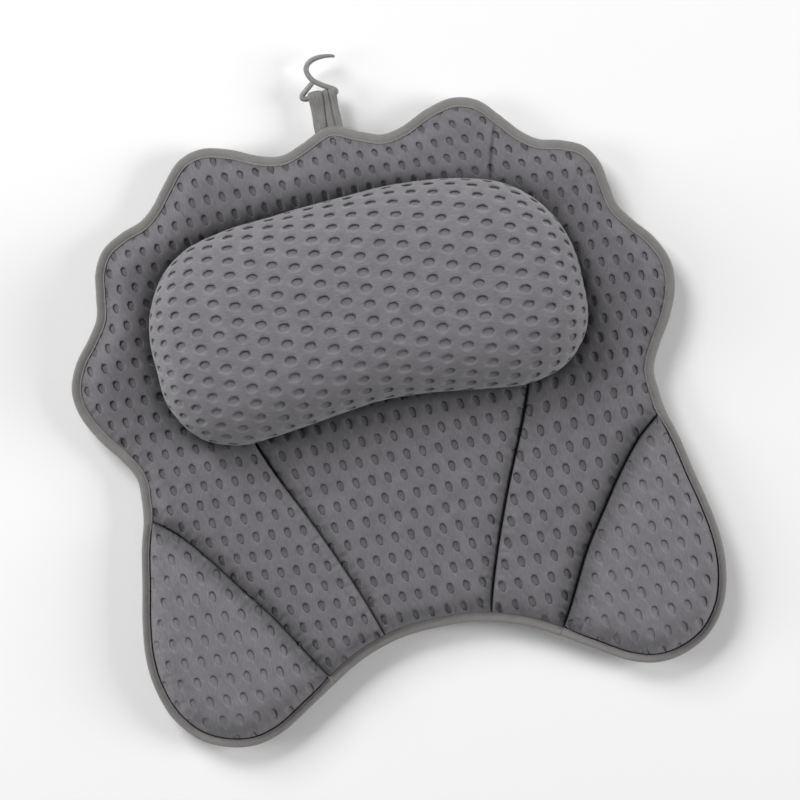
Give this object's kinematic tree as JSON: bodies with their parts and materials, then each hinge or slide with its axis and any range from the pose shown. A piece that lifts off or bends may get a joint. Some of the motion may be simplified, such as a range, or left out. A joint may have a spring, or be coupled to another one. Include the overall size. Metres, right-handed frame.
{
  "type": "bath pillow",
  "caption": "Scalloped quilted spacer-mesh bath pillow with a raised bean-shaped neck roll, forward-folding lower wings, suction cups behind and a hook in a webbing loop on top.",
  "frame": {"origin": "The middle of the bounding box in X and Y, on the plane of the suction cup rims.", "axes": "+X towards the right wing as the padded front is seen, +Y towards the hanging loop, +Z out of the padded front."},
  "size_m": [0.4, 0.435, 0.0824],
  "materials": {
    "mat_mesh": "quilted grey spacer mesh with oval dimples",
    "pillow_mesh": "grey spacer mesh with oval dimples, a shade lighter than the mat",
    "back_mesh": "plain grey open mesh",
    "tape": "woven warm grey tape",
    "padding": "loose off-white polyester wadding",
    "hook_plastic": "moulded satin grey",
    "eyelet_plastic": "moulded dark grey",
    "cup_rubber": "smooth translucent grey"
  },
  "bodies": {
    "mat": {"front_cover": "mat_mesh", "back_cover": "back_mesh", "collar_padding": "padding", "middle_padding": "padding", "crest_binding": "tape", "hem_binding": "tape", "pillow_cover": "pillow_mesh", "pillow_fill": "padding", "eyelet_upper_left": "eyelet_plastic", "eyelet_upper_right": "eyelet_plastic", "eyelet_side_left": "eyelet_plastic", "eyelet_side_right": "eyelet_plastic"},
    "left_wing": {"left_wing_cover": "mat_mesh", "left_wing_back": "back_mesh", "left_wing_padding": "padding", "left_wing_binding": "tape", "eyelet_wing_left": "eyelet_plastic"},
    "right_wing": {"right_wing_cover": "mat_mesh", "right_wing_back": "back_mesh", "right_wing_padding": "padding", "right_wing_binding": "tape", "eyelet_wing_right": "eyelet_plastic"},
    "hanging_loop": {"hanging_loop": "tape"},
    "hook": {"hook": "hook_plastic"},
    "cup_upper_left": {"suction_cup_upper_left": "cup_rubber"},
    "cup_upper_right": {"suction_cup_upper_right": "cup_rubber"},
    "cup_side_left": {"suction_cup_side_left": "cup_rubber"},
    "cup_side_right": {"suction_cup_side_right": "cup_rubber"},
    "cup_wing_left": {"suction_cup_wing_left": "cup_rubber"},
    "cup_wing_right": {"suction_cup_wing_right": "cup_rubber"}
  },
  "joints": [
    {"name": "left_wing_fold", "type": "hinge", "parent": "mat", "child": "left_wing", "pos_m": [-0.16498, -0.0585, 0.0177], "axis": [-0.5885, 0.8085, 0], "range_deg": [-5, 75]},
    {"name": "right_wing_fold", "type": "hinge", "parent": "mat", "child": "right_wing", "pos_m": [0.16498, -0.0585, 0.0177], "axis": [-0.5885, -0.8085, 0], "range_deg": [-5, 75]},
    {"name": "hanging_loop_flap", "type": "hinge", "parent": "mat", "child": "hanging_loop", "pos_m": [-0.0016, 0.1689, 0.01345], "axis": [1, 0, 0], "range_deg": [-80, 80]},
    {"name": "hook_swing", "type": "hinge", "parent": "hanging_loop", "child": "hook", "pos_m": [-0.002, 0.1889, 0.01345], "axis": [1, 0, 0], "range_deg": [-80, 80]},
    {"name": "cup_upper_left_turn", "type": "hinge", "parent": "mat", "child": "cup_upper_left", "pos_m": [-0.09, 0.13514, 0.009], "axis": [0, 0, 1], "continuous": true},
    {"name": "cup_upper_right_turn", "type": "hinge", "parent": "mat", "child": "cup_upper_right", "pos_m": [0.09, 0.13514, 0.009], "axis": [0, 0, 1], "continuous": true},
    {"name": "cup_side_left_turn", "type": "hinge", "parent": "mat", "child": "cup_side_left", "pos_m": [-0.136, -0.02665, 0.009], "axis": [0, 0, 1], "continuous": true},
    {"name": "cup_side_right_turn", "type": "hinge", "parent": "mat", "child": "cup_side_right", "pos_m": [0.136, -0.02665, 0.009], "axis": [0, 0, 1], "continuous": true},
    {"name": "cup_wing_left_turn", "type": "hinge", "parent": "left_wing", "child": "cup_wing_left", "pos_m": [-0.14, -0.16401, 0.009], "axis": [0, 0, 1], "continuous": true},
    {"name": "cup_wing_right_turn", "type": "hinge", "parent": "right_wing", "child": "cup_wing_right", "pos_m": [0.14, -0.16401, 0.009], "axis": [0, 0, 1], "continuous": true}
  ]
}
